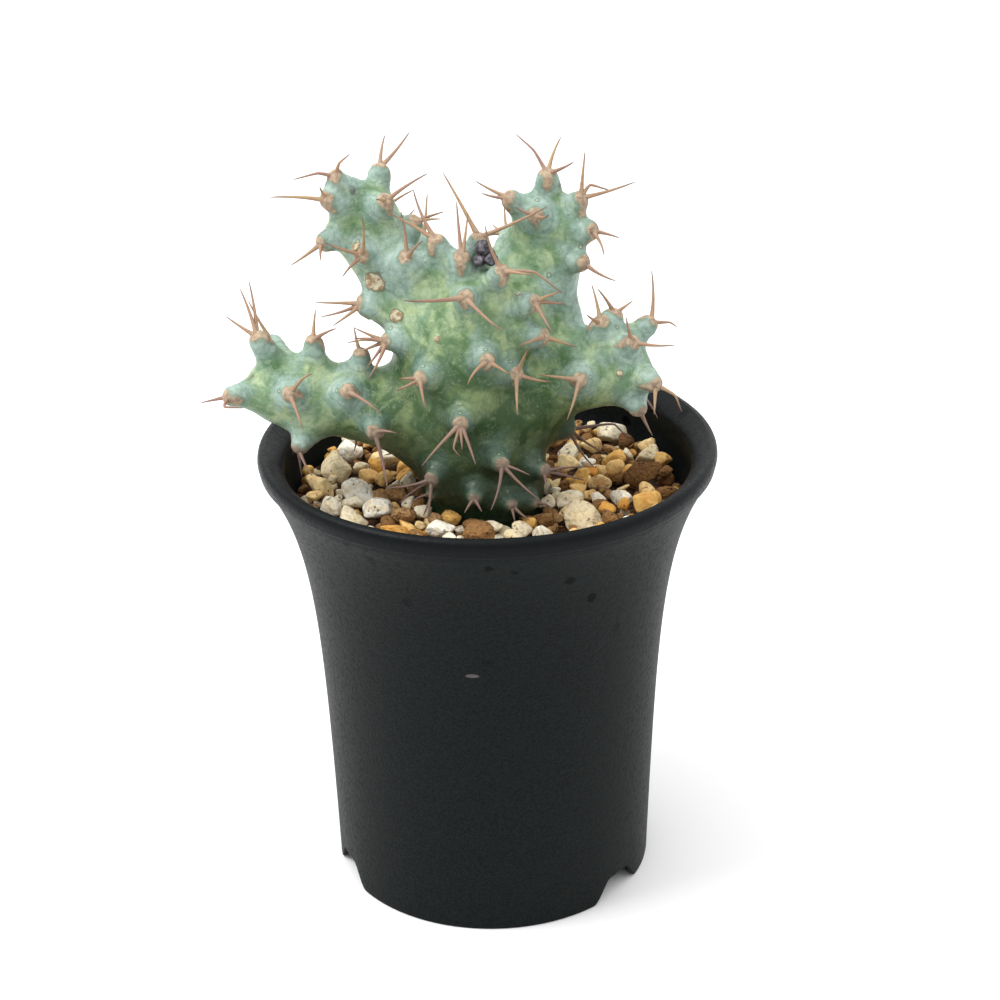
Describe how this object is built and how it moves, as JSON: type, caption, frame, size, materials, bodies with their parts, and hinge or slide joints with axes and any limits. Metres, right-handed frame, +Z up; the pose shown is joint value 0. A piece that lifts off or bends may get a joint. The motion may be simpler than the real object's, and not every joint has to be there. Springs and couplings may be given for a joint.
{
  "type": "potted euphorbia",
  "caption": "Young spiny euphorbia with a stout upright stem and branching side stems, rooted in pumice and clay grains in a flared black plastic nursery pot.",
  "frame": {"origin": "on the ground, under the middle of the whole part's bounding box; the pot's axis is 3.9 mm to its +X side", "axes": "+Z up along the pot's axis, -Y towards the front, +X to the right seen from the front"},
  "size_m": [0.0828, 0.075, 0.1274],
  "materials": {
    "pot_plastic": "satin injection-moulded polypropylene, near black with a slate tint, fine mottle",
    "plant_skin": "waxy glaucous succulent skin, blue-green with yellow-green patches",
    "spine": "dry horny spines and corky spine shields, tan to pinkish brown",
    "dried_capsule": "withered matt brown-black flower remains",
    "potting_mix": "damp granular potting mix",
    "pumice": "rough porous off-white pumice",
    "kanuma": "soft ochre-yellow kanuma grain",
    "akadama": "crumbly red-brown clay grain"
  },
  "bodies": {
    "root": {"akadama_grain_01": "akadama", "akadama_grain_02": "akadama", "akadama_grain_03": "akadama", "akadama_grain_04": "akadama", "akadama_grain_05": "akadama", "akadama_grain_06": "akadama", "akadama_grain_07": "akadama", "akadama_grain_08": "akadama", "akadama_grain_09": "akadama", "arm_left": "plant_skin", "arm_right": "plant_skin", "arm_upper_left": "plant_skin", "arm_upper_right": "plant_skin", "dried_capsules": "dried_capsule", "kanuma_grain_01": "kanuma", "kanuma_grain_02": "kanuma", "kanuma_grain_03": "kanuma", "kanuma_grain_04": "kanuma", "kanuma_grain_05": "kanuma", "kanuma_grain_06": "kanuma", "kanuma_grain_07": "kanuma", "kanuma_grain_08": "kanuma", "kanuma_grain_09": "kanuma", "kanuma_grain_10": "kanuma", "kanuma_grain_11": "kanuma", "kanuma_grain_12": "kanuma", "kanuma_grain_13": "kanuma", "main_stem": "plant_skin", "pot": "pot_plastic", "potting_mix": "potting_mix", "pumice_grain_01": "pumice", "pumice_grain_02": "pumice", "pumice_grain_03": "pumice", "pumice_grain_04": "pumice", "pumice_grain_05": "pumice", "pumice_grain_06": "pumice", "pumice_grain_07": "pumice", "pumice_grain_08": "pumice", "pumice_grain_09": "pumice", "pumice_grain_10": "pumice", "pumice_grain_11": "pumice", "pumice_grain_12": "pumice", "pumice_grain_13": "pumice", "pumice_grain_14": "pumice", "pumice_grain_15": "pumice", "pumice_grain_16": "pumice", "pumice_grain_17": "pumice", "pumice_grain_18": "pumice"}
  },
  "joints": []
}
